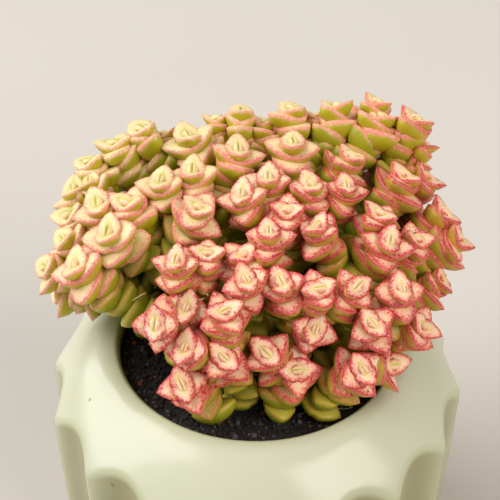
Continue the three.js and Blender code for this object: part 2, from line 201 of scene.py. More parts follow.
# Room that leaves keep: to other stems, to the shoots of their own stem, to the pot and soil
STEM_OVERLAP = 2.0
FORK_OVERLAP = 1.4
POT_CLEARANCE = 0.6
SOIL_CLEARANCE = 1.2
SAMPLE_STEP = 1.2
SHORTEST_PART = 0.25
TRIM_STEP = 0.06

# Stars in the picture: column and row of the middle, direction of one leaf tip counted from the right in
# degrees, and how far the star lies behind the crown's skin in millimetres
SEEN_STARS = (
    (181, 385, 21, 0), (184, 347, -16, 1), (154, 323, -4, 0), (224, 357, 49, 1), (225, 309, 118, 0),
    (249, 277, 20, 0), (279, 280, 13, 1), (320, 286, 109, 0), (186, 306, -14, 4), (175, 258, -11, 0),
    (211, 250, 90, 2), (243, 250, -40, 2), (198, 204, 45, 0), (241, 190, 175, 0), (286, 211, 77, 0),
    (269, 228, 0, 0), (315, 222, -25, 0), (266, 352, 44, 3), (297, 370, -80, 4), (316, 329, -23, 4),
    (358, 285, -42, 0), (403, 286, 3, 0), (427, 325, 61, 0), (374, 322, 33, 0), (365, 370, 34, 0),
    (396, 364, 95, 4), (391, 238, -14, 0), (420, 236, -70, 2), (450, 213, 10, 0), (461, 233, -90, 0),
    (381, 210, 40, 1), (408, 172, 20, 0), (430, 174, 95, 3), (347, 182, 0, 0), (312, 181, 20, 0),
    (268, 174, -5, 0), (238, 145, 5, 0), (293, 138, 0, 0), (241, 107, 0, 0), (292, 104, 10, 0),
    (338, 103, 20, 0), (383, 112, 0, 0), (418, 115, 10, 0), (187, 131, 10, 0), (140, 124, 20, 0),
    (110, 140, 60, 0), (160, 176, -2, 0), (192, 167, 0, 1), (72, 184, 30, 0), (66, 208, 70, 0),
    (97, 200, 20, 1), (124, 199, 60, 2), (106, 229, 5, 0), (60, 238, 45, 0), (72, 262, 10, 0),
    (43, 262, 60, 0), (86, 160, 45, 0),
)

# Small side stars between those, in the same terms
SIDE_STARS = (
    (265, 118, 30, 2), (378, 98, 10, 3), (426, 140, 60, 3), (217, 115, 40, 3), (318, 112, 70, 4),
    (163, 130, 30, 3), (88, 178, 20, 3), (352, 152, 25, 4),
)
SIDE_STAR_SIZE = 0.8

# Low leaves on the grit: column, row, length and heading, then their form as parts of that length
LOW_LEAVES = ((199, 411, 3.4, 20), (233, 401, 3.0, -10), (214, 398, 2.6, 70), (126, 322, 3.4, 30))
LOW_LEAF_SEED = 11
LOW_LEAF_TILTS = (-0.15, 0.25)
LOW_LEAF_LIFT = 0.32
LOW_LEAF_THICKNESS = 0.45
LOW_LEAF_SHORTER = 0.8
LOW_LEAF_HALF = 0.75
LOW_LEAF_RISE = 0.3
LOW_LEAF_TAPER = 2.2
LOW_LEAF_TONE = (0.9, 0.2)

# Dry wisps on the crown: column, row and length. A fine fibre on the grit: its ends as column and row.
# Both are drawn about twice as thick as they are, so that they show.
WISPS = ((146, 293, 3.2), (165, 289, 2.4), (204, 298, 3.0), (208, 296, 2.2), (190, 276, 2.6))
WISP_SEED = 5
WISP_DEPTH = 3
WISP_STEPS = 6
WISP_STEEPNESS = 0.6
WISP_BEND = 0.35
FIBRE_ENDS = ((300, 417), (352, 407))
FIBRE_STEPS = 12
FIBRE_RADIUS = 0.09
FIBRE_SWAY = 0.8
FIBRE_WAVES = 5
FIBRE_LIFT = 0.75

# Viewpoint of the picture
PICTURE_SIZE = 500
VIEW_FIELD = 20
VIEW_ELEVATION = 39.3
VIEW_DISTANCE = 299
VIEW_TARGET = Vector((-1.2, 0, POT_HEIGHT + 25.3))

# Stars that the picture hides: an even lattice over the far side of the crown
LATTICE_POINTS = 300
LATTICE_LOW = -0.45
STAR_SPACING = 9
HIDDEN_FACING = 0.5
HIDDEN_FRONT = 3
ELBOW_ROOM = 7.2
ELBOW_ROUNDS = 12
ELBOW_SHARE = 0.25

# Setting: the floor in millimetres, the lights with place and size in metres and power in watts
FLOOR_REACH = 5000
LIGHT_AIM = Vector((0, 0, 0.07))
LIGHTS = (
    ("window", (-1.5, 0.3, 1.4), 2.4, 57.6, "#ffffff"),
    ("sky", (1.35, -1.05, 1.4), 1.5, 28.8, "#fffaf2"),
)
ROOM_COLOUR = "#f1ece6"
ROOM_STRENGTH = 0.36
CLIP_START = 0.01


def draw(k):
    """A repeatable draw between 0 and 1 for item number k."""
    value = abs(math.sin((k + 1) * HASH_TURN) * HASH_SCALE)
    return value - math.floor(value)


def mix(a, b, part):
    return a + (b - a) * part


def clamped(value):
    return min(max(value, 0), 1)


# The picture's rays
tilt = math.radians(VIEW_ELEVATION)
VIEW_BACK = Vector((0, -math.cos(tilt), math.sin(tilt)))
VIEW_RIGHT = Vector((1, 0, 0))
VIEW_RISE = VIEW_BACK.cross(VIEW_RIGHT)
VIEW_EYE = VIEW_TARGET + VIEW_BACK * VIEW_DISTANCE


def ray_through(column, row):
    half = PICTURE_SIZE / 2
    focal = half / math.tan(math.radians(VIEW_FIELD) / 2)
    across = VIEW_RIGHT * ((column - half) / focal)
    return (-VIEW_BACK + across + VIEW_RISE * ((half - row) / focal)).normalized()


# The crown's skin: below 1 inside, 1 on the skin, above 1 outside
def crown_parts(point):
    offset = point - CROWN_CENTRE
    lifted = offset.z - CROWN_LEAN * offset.y
    height = CROWN_REACH.z if lifted > 0 else CROWN_SKIRT
    return offset.x / CROWN_REACH.x, offset.y / CROWN_REACH.y, lifted / height


def crown_level(point):
    return sum(abs(part) ** CROWN_POWER for part in crown_parts(point))


def crown_normal(point):
    parts = crown_parts(point)
    sizes = (CROWN_REACH.x, CROWN_REACH.y, CROWN_REACH.z if parts[2] > 0 else CROWN_SKIRT)
    slopes = [math.copysign(abs(p) ** (CROWN_POWER - 1), p) / size for p, size in zip(parts, sizes)]
    slopes[1] -= CROWN_LEAN * slopes[2]
    return Vector(slopes).normalized()


def growth_axis(point):
    return (crown_normal(point) + UP * UPWARD_PULL).normalized()


def point_on_crown(column, row, depth):
    ray = ray_through(column, row)
    nearest = 0
    lowest = math.inf
    for step in range(int(2 * CROWN_SEARCH / CROWN_SEARCH_STEP)):
        along = VIEW_DISTANCE - CROWN_SEARCH + step * CROWN_SEARCH_STEP
        level = crown_level(VIEW_EYE + ray * along)
        if level < lowest:
            lowest = level
            nearest = along
        if level < 1:
            break
    return VIEW_EYE + ray * (nearest + depth)


def point_on_soil(column, row):
    ray = ray_through(column, row)
    return VIEW_EYE + ray * ((SOIL_TOP - VIEW_EYE.z) / ray.z)


def sideways_in_picture(axis, angle):
    """The direction, square to the axis, that the picture shows at an angle from its right."""
    first = axis.cross(VIEW_RIGHT).normalized()
    second = axis.cross(first).normalized()
    a = (first.dot(VIEW_RIGHT), first.dot(VIEW_RISE))
    b = (second.dot(VIEW_RIGHT), second.dot(VIEW_RISE))
    want = (math.cos(math.radians(angle)), math.sin(math.radians(angle)))
    area = a[0] * b[1] - a[1] * b[0]
    along_first = (want[0] * b[1] - want[1] * b[0]) / area
    along_second = (a[0] * want[1] - a[1] * want[0]) / area
    return (first * along_first + second * along_second).normalized()


@dataclass
class Star:
    tip: Vector
    axis: Vector
    side: Vector
    size: float = 1
    spread: float = 0


def stars_at(places, size=1):
    stars = []
    for column, row, angle, depth in places:
        tip = point_on_crown(column, row, depth)
        axis = growth_axis(tip)
        stars.append(Star(tip, axis, sideways_in_picture(axis, angle), size))
    return stars


def spread_out(stars):
    """Stars that crowd each other move apart a little."""
    for _ in range(ELBOW_ROUNDS):
        for a, first in enumerate(stars):
            for second in stars[a + 1:]:
                apart = second.tip - first.tip
                lack = ELBOW_ROOM - apart.length
                if lack <= 0:
                    continue
                apart *= lack * ELBOW_SHARE / apart.length
                second.tip += apart
                first.tip -= apart
    return stars


def hidden_stars(seen):
    found = []
    for k in range(LATTICE_POINTS):
        rise = 1 - (k + 0.5) / LATTICE_POINTS * (1 - LATTICE_LOW)
        flat = math.sqrt(1 - rise * rise)
        turn = k * GOLDEN_ANGLE
        height = CROWN_REACH.z if rise > 0 else CROWN_SKIRT
        plan = (flat * math.cos(turn) * CROWN_REACH.x, flat * math.sin(turn) * CROWN_REACH.y)
        direction = Vector((*plan, 0))
        direction.z = rise * height + CROWN_LEAN * direction.y
        level = crown_level(CROWN_CENTRE + direction)
        tip = CROWN_CENTRE + direction * level ** (-1 / CROWN_POWER)
        if tip.y < HIDDEN_FRONT or crown_normal(tip).dot(VIEW_BACK) > HIDDEN_FACING:
            continue
        if any((star.tip - tip).length < STAR_SPACING for star in seen + found):
            continue
        axis = growth_axis(tip)
        side = Matrix.Rotation(2 * math.pi * draw(k), 3, axis) @ axis.cross(VIEW_RIGHT).normalized()
        found.append(Star(tip, axis, side))
    return found


# Each star grows from the nearest stem foot, with the crown's plan drawn in to the soil's
def on_soil(radius, turn):
    return Vector((radius * math.cos(turn), radius * math.sin(turn), SOIL_TOP))


def stem_feet():
    return [
        on_soil(STEM_SPREAD * math.sqrt((k + 0.5) / STEM_COUNT), k * GOLDEN_ANGLE)
        for k in range(STEM_COUNT)
    ]


def foot_plan(tip):
    offset = tip - CROWN_CENTRE
    parts = Vector([part / reach for part, reach in zip(offset, CROWN_REACH)]).normalized()
    radius = STEM_SPREAD * math.acos(parts.z) / math.radians(CROWN_OPENING)
    return on_soil(radius, math.atan2(parts.y, parts.x))


class Shoot:
    """A shoot's middle line, walked from its tip down."""

    def __init__(self, start, heading, star, is_main):
        reach = (star.tip - start).length * CURVE_PULL
        self.star = star
        self.is_main = is_main
        self.controls = (start, start + heading * reach, star.tip - star.axis * reach, star.tip)
        marks = [self.on_curve(k / CURVE_DIVISIONS) for k in range(CURVE_DIVISIONS + 1)]
        self.walked = [0]
        for before, after in zip(marks, marks[1:]):
            self.walked.append(self.walked[-1] + (after - before).length)
        self.length = self.walked[-1]
        steps = math.ceil(self.length / SAMPLE_STEP)
        self.samples = np.array([self.point_at(k * SAMPLE_STEP) for k in range(steps)])

    def on_curve(self, t):
        a, b, c, d = self.controls
        u = 1 - t
        return a * u ** 3 + b * (3 * u * u * t) + c * (3 * u * t * t) + d * t ** 3

    def part_at(self, down):
        walk = self.length - min(down, self.length)
        return float(np.interp(walk, self.walked, np.linspace(0, 1, CURVE_DIVISIONS + 1)))

    def point_at(self, down):
        return self.on_curve(self.part_at(down))

    def heading_at(self, down):
        t = self.part_at(down)
        a, b, c, d = self.controls
        u = 1 - t
        return ((b - a) * (u * u) + (c - b) * (2 * u * t) + (d - c) * (t * t)).normalized()


def plant_stems():
    """Lists of shoots, one list for each stem that leaves the soil, the main shoot first."""
    seen = spread_out(stars_at(SEEN_STARS))
    groups = [(foot, []) for foot in stem_feet()]
    for star in seen + hidden_stars(seen) + stars_at(SIDE_STARS, SIDE_STAR_SIZE):
        plan = foot_plan(star.tip)
        foot, stars = min(groups, key=lambda group: (group[0] - plan).length)
        star.spread = (foot - plan).length
        stars.append(star)
    stems = []
    for foot, stars in groups:
        if not stars:
            continue
        stars.sort(key=lambda star: (star.size < 1, star.spread))
        main = Shoot(foot, UP, stars[0], True)
        fork_down = main.length * FORK_AT
        fork = main.point_at(fork_down)
        heading = main.heading_at(fork_down)
        stems.append([main] + [Shoot(fork, heading, star, False) for star in stars[1:]])
    return stems


# Materials
def linear(colour):
    """An sRGB hex colour as linear red, green, blue and alpha."""
    channels = [int(colour[k:k + 2], 16) / 255 for k in (1, 3, 5)]
    return [c / 12.92 if c <= 0.04045 else ((c + 0.055) / 1.055) ** 2.4 for c in channels] + [1]


def add(tree, kind, inputs, **settings):
    """A node with its settings, its constant inputs and its links."""
    node = tree.nodes.new(kind)
    for name, value in settings.items():
        setattr(node, name, value)
    for socket, value in inputs.items():
        if isinstance(value, bpy.types.NodeSocket):
            tree.links.new(value, node.inputs[socket])
        else:
            node.inputs[socket].default_value = value
    return node


def surface(name, **finish):
    """A new material, its node tree and its principled shader with the finish's constants set."""
    material = bpy.data.materials.new(name)
    material.use_nodes = True
    tree = material.node_tree
    shader = tree.nodes["Principled BSDF"]
    for socket, value in finish.items():
        shader.inputs[socket.replace("_", " ")].default_value = value
    return material, tree, shader


def blended(tree, part, a, b):
    """The colour between a and b, which are hex colours or sockets."""
    ends = [linear(end) if isinstance(end, str) else end for end in (a, b)]
    return add(tree, "ShaderNodeMix", {0: part, 6: ends[0], 7: ends[1]}, data_type="RGBA").outputs[2]


def stepped(tree, value, low, high, to_low=0, to_high=1):
    """A smooth step of the value from low to high."""
    inputs = {0: value, 1: low, 2: high, 3: to_low, 4: to_high}
    return add(tree, "ShaderNodeMapRange", inputs, interpolation_type="SMOOTHSTEP").outputs[0]


def maths(tree, operation, a, b, c=0.0):
    return add(tree, "ShaderNodeMath", {0: a, 1: b, 2: c}, operation=operation).outputs[0]


def noise_of(tree, size_mm, detail=2.0, roughness=0.5):
    """Noise whose patches are about size_mm across, in the object's own space."""
    place = add(tree, "ShaderNodeTexCoord", {}).outputs["Object"]
    inputs = {"Vector": place, "Scale": 1 / (size_mm * MM), "Detail": detail, "Roughness": roughness}
    return add(tree, "ShaderNodeTexNoise", inputs).outputs[0]


def dots_of(tree, spacing_mm, dot_mm, share):
    """Round dots about dot_mm across, of value 1, in the given share of cells that lie spacing_mm apart."""
    place = add(tree, "ShaderNodeTexCoord", {}).outputs["Object"]
    cells = add(tree, "ShaderNodeTexVoronoi", {"Vector": place, "Scale": 1 / (spacing_mm * MM)})
    half = dot_mm / spacing_mm / 2
    dot = stepped(tree, cells.outputs["Distance"], half * 0.6, half * 1.2, 1, 0)
    chance = add(tree, "ShaderNodeSeparateColor", {0: cells.outputs["Color"]}).outputs[0]
    return maths(tree, "MULTIPLY", dot, maths(tree, "LESS_THAN", chance, share))


def bumped(tree, shader, height, depth_mm, strength=1.0):
    bump = add(tree, "ShaderNodeBump", {"Height": height, "Distance": depth_mm * MM, "Strength": strength})
    tree.links.new(bump.outputs[0], shader.inputs["Normal"])


def living_leaf():
    """Succulent leaf skin: waxy, cream in the middle, blushed and freckled towards a pale rim, green below,
    old leaves darker olive partly as painted shade, and a bud's slit painted olive as painted shade.

    The freckles are drawn about twice as wide as they are, so that they show.
    """
    material, tree, shader = surface("succulent_leaf", Roughness=0.38, IOR=1.42, Subsurface_Weight=0.1)
    shader.inputs["Subsurface Scale"].default_value = 0.5 * MM
    shader.inputs["Subsurface Radius"].default_value = (1.0, 0.6, 0.25)
    growth = add(tree, "ShaderNodeAttribute", {}, attribute_name="growth")
    margin, under, age = add(tree, "ShaderNodeSeparateColor", {0: growth.outputs["Color"]}).outputs
    blush = growth.outputs["Alpha"]

    # Patches that make every border ragged
    mottle = noise_of(tree, 0.6, detail=3.0, roughness=0.6)
    cloud = noise_of(tree, 3.0)
    ragged = maths(tree, "MULTIPLY_ADD", maths(tree, "SUBTRACT", mottle, 0.5), 1.1, margin)
    ripe = stepped(tree, blush, 0.35, 0.95, 0.15, 1)

    # Upper face: yellow-green heart, cream around it, then haze and stain towards the margin
    flush_from = maths(tree, "MULTIPLY_ADD", blush, -0.6, 0.78)
    flush_to = maths(tree, "MULTIPLY_ADD", blush, -0.35, 1.2)
    flush = stepped(tree, ragged, flush_from, flush_to)
    heart = stepped(tree, maths(tree, "MULTIPLY_ADD", cloud, 0.4, margin), 0.15, 0.6)
    pale = blended(tree, stepped(tree, blush, 0.35, 0.9), "#f0d8a2", "#f8d6b6")
    core = blended(tree, heart, blended(tree, blush, "#b4b834", "#ecd27c"), pale)
    ripe_haze = blended(tree, stepped(tree, cloud, 0.42, 0.58), "#ef877d", "#f19a72")
    haze = blended(tree, blush, "#f4a090", ripe_haze)
    stain = maths(tree, "MULTIPLY", stepped(tree, ragged, 0.48, 1.06), ripe)
    edge = blended(tree, stain, haze, "#c82c38")
    top = blended(tree, flush, core, edge)

    # Old leaves: olive with a tan rim, darker partly as painted shade low in the crown
    aged_and_shaded = stepped(tree, age, 0.3, 0.8, 0, 0.85)
    old_rim = stepped(tree, ragged, 0.85, 1.35, 0, 0.7)
    top = blended(tree, aged_and_shaded, top, blended(tree, old_rim, "#b8b42c", "#d2986e"))

    # Underside: yellow to darker olive green with age, partly painted shade low in the crown, flushed near
    # the margin
    young_below = blended(tree, stepped(tree, blush, 0.6, 1.0), "#bcb422", "#c8a83e")
    below = blended(tree, stepped(tree, age, 0.05, 0.6), young_below, "#989c1e")
    below_flush = maths(tree, "MULTIPLY", stepped(tree, ragged, 0.82, 1.25, 0, 0.9), ripe)
    below = blended(tree, below_flush, below, blended(tree, age, "#e08e6c", "#b0a048"))
    skin = blended(tree, stepped(tree, under, 0.1, 0.6), top, below)

    # Crimson freckles that crowd towards the margin of young leaves
    freckled = dots_of(tree, 0.62, 0.42, stepped(tree, ragged, 0.3, 1.0))
    freckled = maths(tree, "MULTIPLY", freckled, stepped(tree, age, 0.4, 0.8, 0.9, 0))
    freckled = maths(tree, "MULTIPLY", freckled, stepped(tree, under, 0, 0.5, 1, 0.25))
    freckled = maths(tree, "MULTIPLY", freckled, ripe)
    skin = blended(tree, freckled, skin, "#98183a")

    # A thin pale rim on young leaves
    rim = stepped(tree, margin, 0.95, 0.99)
    rim = maths(tree, "MULTIPLY", rim, stepped(tree, under, 0.2, 0.6, 0.25, 0))
    rim = maths(tree, "MULTIPLY", rim, stepped(tree, age, 0.25, 0.5, 1, 0))
    skin = blended(tree, rim, skin, "#fdd6b0")
    tree.links.new(skin, shader.inputs["Base Color"])
    bumped(tree, shader, noise_of(tree, 0.5, detail=2.0), 0.04, 0.5)
    return material


def green_wood():
    """Green wood with reddish brown patches: matt, with a finely uneven skin."""
    material, tree, shader = surface("green_wood", Roughness=0.65)
    tone = stepped(tree, noise_of(tree, 2.0, detail=3.0), 0.35, 0.65)
    tree.links.new(blended(tree, tone, "#6c6a2c", "#8a4a34"), shader.inputs["Base Color"])
    bumped(tree, shader, noise_of(tree, 0.6), 0.1, 0.5)
    return material


def celadon_glaze():
    """Celadon over pale stoneware: glossy, creamy on ridges, green in the flutes, brown at the inner lip;
    the wall below the shoulder and the flutes are painted darker, partly pooled glaze and partly painted
    shade.
    """
    material, tree, shader = surface("celadon_glaze", Roughness=0.2, IOR=1.52)
    pool_and_shade = add(tree, "ShaderNodeAttribute", {}, attribute_name="pool_and_shade").outputs["Fac"]
    drift = noise_of(tree, 24.0)
    # Depth of glaze plus painted shade on the wall and in the flutes, with a slow drift
    depth = maths(tree, "MULTIPLY_ADD", drift, 0.5, pool_and_shade)
    glaze = blended(tree, stepped(tree, depth, 0.15, 0.6), "#ced0b8", "#c0c3a2")
    # Darker olive where deep: pooled glaze and painted shade
    glaze = blended(tree, stepped(tree, depth, 0.6, 1.3), glaze, "#98946a")
    glaze = blended(tree, stepped(tree, depth, 1.5, 2.1), glaze, "#7d6738")
    speck = dots_of(tree, 6.0, 1.1, 0.18)
    glaze = blended(tree, maths(tree, "MULTIPLY", speck, 0.7), glaze, "#6d5733")
    tree.links.new(glaze, shader.inputs["Base Color"])
    bumped(tree, shader, noise_of(tree, 9.0, detail=3.0), 0.25, 0.5)
    return material


def bare_grit():
    """Charcoal potting grit: dull, nearly black, with grey, violet and a few rusty grains."""
    material, tree, shader = surface("charcoal_grit", Roughness=0.8)
    grain = add(tree, "ShaderNodeAttribute", {}, attribute_name="grain").outputs["Fac"]
    dust = noise_of(tree, 0.8, detail=3.0)
    dark = blended(tree, dust, "#110c0b", "#2c2321")
    tint = blended(tree, stepped(tree, grain, 0.55, 0.95), dark, "#5b5057")
    tint = blended(tree, stepped(tree, grain, 0.965, 0.975), tint, "#7a3f2c")
    tree.links.new(tint, shader.inputs["Base Color"])
    bumped(tree, shader, noise_of(tree, 0.4), 0.15, 0.6)
    return material


def dry_fibre():
    """Dried plant fibre: straw-coloured and matt."""
    material, tree, shader = surface("dry_fibre", Roughness=0.7)
    tone = noise_of(tree, 1.5)
    tree.links.new(blended(tree, tone, "#d9c7a4", "#a98e63"), shader.inputs["Base Color"])
    return material


def pale_plaster():
    """Smooth pale plaster: matt, with a faint cloudiness."""
    material, tree, shader = surface("pale_plaster", Roughness=0.85)
    tone = noise_of(tree, 180.0)
    tree.links.new(blended(tree, tone, "#cbc5bd", "#d1ccc5"), shader.inputs["Base Color"])
    return material


# Pieces
def piece_from(mesh, name, materials, slot, *nodes):
    """A finished piece from a bmesh in millimetres, riding the body and standing for its nodes."""
    bmesh.ops.scale(mesh, verts=mesh.verts, vec=(MM, MM, MM))
    data = bpy.data.meshes.new(name)
    mesh.to_mesh(data)
    mesh.free()
    for material in materials:
        data.materials.append(material)
    piece = bpy.data.objects.new(name, data)
    bpy.context.scene.collection.objects.link(piece)
    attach(piece, "root")
    if nodes:
        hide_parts(*nodes)


def shoulder_height(radius):
    part = (radius - LIP_OUTER_RADIUS) / (RIDGE_RADIUS - LIP_OUTER_RADIUS)
    return POT_HEIGHT - SHOULDER_DROP * max(part, 0) ** SHOULDER_POWER


def flute_part(angle):
    """0 on a ridge and 1 in the middle of a flute, with the ridge a little rounded."""
    turns = (angle - math.radians(FLUTE_PHASE)) * FLUTE_COUNT / (2 * math.pi)
    across = turns - math.floor(turns)
    arch = 4 * across * (1 - across)
    deepest = math.hypot(1, RIDGE_SOFTNESS) - RIDGE_SOFTNESS
    return (math.hypot(arch, RIDGE_SOFTNESS) - RIDGE_SOFTNESS) / deepest


def pot_outline(angle):
    """The pot's outline at an angle: radius, height and how much glaze pools there, with painted shade on
    the wall.
    """
    flute = flute_part(angle)
    edge = RIDGE_RADIUS - FLUTE_DEPTH * flute
    edge_height = shoulder_height(edge)
    arris_start = mix(LIP_OUTER_RADIUS, edge, ARRIS_PART)
    arris = (
        Vector((edge, edge_height - ARRIS_FALL)),
        Vector((edge, edge_height)),
        Vector((arris_start, shoulder_height(arris_start))),
    )
    # The wall and flutes: partly pooled glaze, partly painted shade where the wall faces down
    pooled_and_shaded = mix(WALL_POOL_AND_SHADE, 1, flute)
    outline = [
        (DRAIN_RADIUS, FOOT_HEIGHT, 0),
        (FOOT_INNER_RADIUS - FOOT_BEVEL, FOOT_HEIGHT, 0),
        (FOOT_INNER_RADIUS, 0, 0),
        (FOOT_OUTER_RADIUS, 0, 0),
        (FOOT_OUTER_RADIUS + FOOT_BEVEL, FOOT_HEIGHT, 0),
        (edge - WALL_TAPER, WALL_START, pooled_and_shaded),
    ]
    wall_top = edge_height - ARRIS_FALL
    for step in range(1, WALL_STEPS):
        height = mix(WALL_START, wall_top, step / WALL_STEPS)
        if height < WALL_WAIST_HEIGHT:
            taper = np.interp(height, (WALL_START, WALL_WAIST_HEIGHT), (WALL_TAPER, WALL_WAIST_TAPER))
        else:
            taper = np.interp(height, (WALL_WAIST_HEIGHT, wall_top), (WALL_WAIST_TAPER, 0))
        outline.append((edge - taper, height, pooled_and_shaded))
    for step in range(ARRIS_STEPS):
        part = step / ARRIS_STEPS
        point = arris[0] * (1 - part) ** 2 + arris[1] * (2 * part * (1 - part)) + arris[2] * part ** 2
        outline.append((point.x, point.y, pooled_and_shaded * (1 - part)))
    for step in range(SHOULDER_STEPS):
        radius = mix(arris_start, LIP_OUTER_RADIUS, step / SHOULDER_STEPS)
        outline.append((radius, shoulder_height(radius), 0))
    crest = (LIP_OUTER_RADIUS + OPENING_RADIUS) / 2
    for step in range(LIP_STEPS + 1):
        turn = math.pi / 2 * step / LIP_STEPS
        radius = crest - (crest - OPENING_RADIUS) * math.sin(turn)
        height = POT_HEIGHT - LIP_CURVE_DROP * (1 - math.cos(turn))
        outline.append((radius, height, mix(LIP_POOL, BROWN_EDGE, step / LIP_STEPS)))
    outline += [
        (OPENING_RADIUS, POT_HEIGHT - LIP_DEPTH, BROWN_EDGE),
        (CAVITY_RADIUS, POT_HEIGHT - CAVITY_TOP_DROP, CAVITY_POOL),
        (CAVITY_RADIUS, FLOOR_TOP + FLOOR_ROUNDING, CAVITY_POOL),
        (CAVITY_RADIUS - FLOOR_ROUNDING, FLOOR_TOP, CAVITY_POOL),
        (DRAIN_RADIUS, FLOOR_TOP, CAVITY_POOL),
    ]
    return outline


def make_pot(glaze):
    """The outline turned once about the pot, each station then moved to its place on ridge or flute."""
    mesh = bmesh.new()
    station = mesh.verts.layers.int.new("station")
    pool_and_shade = mesh.verts.layers.float.new("pool_and_shade")
    outline = pot_outline(0)
    verts = [mesh.verts.new((radius, 0, height)) for radius, height, _ in outline]
    for number, vert in enumerate(verts):
        vert[station] = number
        mesh.edges.new((vert, verts[number - 1]))
    bmesh.ops.spin(
        mesh, geom=list(mesh.verts) + list(mesh.edges), cent=(0, 0, 0), axis=(0, 0, 1),
        angle=2 * math.pi, steps=FLUTE_COUNT * FLUTE_SIDES, use_merge=True,
    )
    outlines = {}
    for vert in mesh.verts:
        angle = math.atan2(vert.co.x, -vert.co.y)
        key = round(math.degrees(angle), 2)
        if key not in outlines:
            outlines[key] = pot_outline(angle)
        radius, height, pooled_and_shaded = outlines[key][vert[station]]
        vert.co = (radius * math.sin(angle), -radius * math.cos(angle), height)
        vert[pool_and_shade] = pooled_and_shaded
    bmesh.ops.recalc_face_normals(mesh, faces=mesh.faces)
    for face in mesh.faces:
        face.smooth = True
    mesh.verts.layers.int.remove(station)
    piece_from(mesh, "fluted_pot", [glaze], "glazed_pot", "pot")


def soil_height(x, y):
    broad = noise.noise(Vector((x, y, 0)) / SOIL_PATCH)
    fine = noise.noise(Vector((x, y, SOIL_FINE_LAYER)) * 2 / SOIL_PATCH)
    return SOIL_TOP + SOIL_RELIEF * (broad + SOIL_FINE_SHARE * fine)


def make_soil(grit):
    """A rough-topped plug that fills the pot."""
    rim = OPENING_RADIUS - FIT_GAP
    wall = CAVITY_RADIUS - FIT_GAP
    outline = [(rim * ring / SOIL_RINGS, SOIL_TOP) for ring in range(SOIL_RINGS + 1)]
    outline += [
        (rim, POT_HEIGHT - LIP_DEPTH - FIT_GAP),
        (wall, POT_HEIGHT - CAVITY_TOP_DROP - FIT_GAP),
        (wall, FLOOR_TOP + FLOOR_ROUNDING + FIT_GAP),
        (wall - FLOOR_ROUNDING, FLOOR_TOP + FIT_GAP),
        (0, FLOOR_TOP + FIT_GAP),
    ]
    mesh = bmesh.new()
    grain = mesh.verts.layers.float.new("grain")
    verts = [mesh.verts.new((radius, 0, height)) for radius, height in outline]
    for before, after in zip(verts, verts[1:]):
        mesh.edges.new((before, after))
    bmesh.ops.spin(
        mesh, geom=list(mesh.verts) + list(mesh.edges), cent=(0, 0, 0), axis=(0, 0, 1),
        angle=2 * math.pi, steps=SOIL_TURNS, use_merge=True,
    )
    bmesh.ops.remove_doubles(mesh, verts=mesh.verts, dist=TOUCHING)
    for vert in mesh.verts:
        if vert.co.z > SOIL_TOP - TOUCHING:
            vert.co.z = soil_height(vert.co.x, vert.co.y)
        vert[grain] = SOIL_TONE
    bmesh.ops.recalc_face_normals(mesh, faces=mesh.faces)
    piece_from(mesh, "soil_bed", [grit], "soil", "soil")


def make_grains(grit):
    """Loose chips of grit all over the soil."""
    chance = random.Random(GRAIN_SEED)
    mesh = bmesh.new()
    grain = mesh.verts.layers.float.new("grain")
    chip_size = len(bmesh.ops.create_icosphere(mesh, subdivisions=1, radius=1)["verts"])
    for _ in range(GRAIN_DOUBLINGS):
        bmesh.ops.duplicate(mesh, geom=list(mesh.verts) + list(mesh.edges) + list(mesh.faces))
    verts = list(mesh.verts)
    count = len(verts) // chip_size
    for number in range(count):
        radius = (OPENING_RADIUS - GRAIN_MARGIN) * math.sqrt((number + 0.5) / count)
        turn = number * GOLDEN_ANGLE
        x = radius * math.cos(turn) + chance.uniform(-GRAIN_JITTER, GRAIN_JITTER)
        y = radius * math.sin(turn) + chance.uniform(-GRAIN_JITTER, GRAIN_JITTER)
        size = mix(*GRAIN_SIZES, chance.random() ** 2)
        place = Vector((x, y, soil_height(x, y) + size * GRAIN_LIFT))
        lean = Vector((chance.gauss(0, 1), chance.gauss(0, 1), 1)).normalized()
        spin = Matrix.Rotation(chance.uniform(0, math.tau), 3, lean)
        tone = chance.random()
        for vert in verts[number * chip_size:(number + 1) * chip_size]:
            vert.co = place + spin @ vert.co * (size * chance.uniform(*GRAIN_DRAWS))
            vert[grain] = tone
    piece_from(mesh, "soil_grains", [grit], "soil")


# Leafy stems
class Room:
    """Where a shoot's leaves may reach: near their own shoot, and clear of the pot and soil."""

    def __init__(self, shoot, stem, stems):
        siblings = [other.samples for other in stem if other is not shoot]
        others = [other.samples for group in stems if group is not stem for other in group]
        self.own = shoot.samples
        self.siblings = np.concatenate(siblings) if siblings else None
        self.others = np.concatenate(others)

    @staticmethod
    def distance(point, samples):
        if samples is None:
            return math.inf
        offsets = samples - point
        return math.sqrt(np.einsum("ij,ij->i", offsets, offsets).min())

    def has(self, point):
        radius = math.hypot(point.x, point.y)
        if radius < OPENING_RADIUS - POT_CLEARANCE:
            clear = point.z > SOIL_TOP + SOIL_CLEARANCE
        else:
            outside = radius > RIDGE_RADIUS + POT_CLEARANCE
            clear = outside or point.z > shoulder_height(radius) + POT_CLEARANCE
        if not clear:
            return False
        spot = np.array(point)
        own = self.distance(spot, self.own)
        if own > self.distance(spot, self.siblings) + FORK_OVERLAP:
            return False
        return own < self.distance(spot, self.others) + STEM_OVERLAP

    def part_free(self, centre, out, axis, length, rise):
        """The largest part of a leaf's reach that has room."""
        part = 1
        while part > SHORTEST_PART:
            if self.has(centre + out * (length * part) + axis * (rise * part)):
                return part
            part -= TRIM_STEP
        return SHORTEST_PART


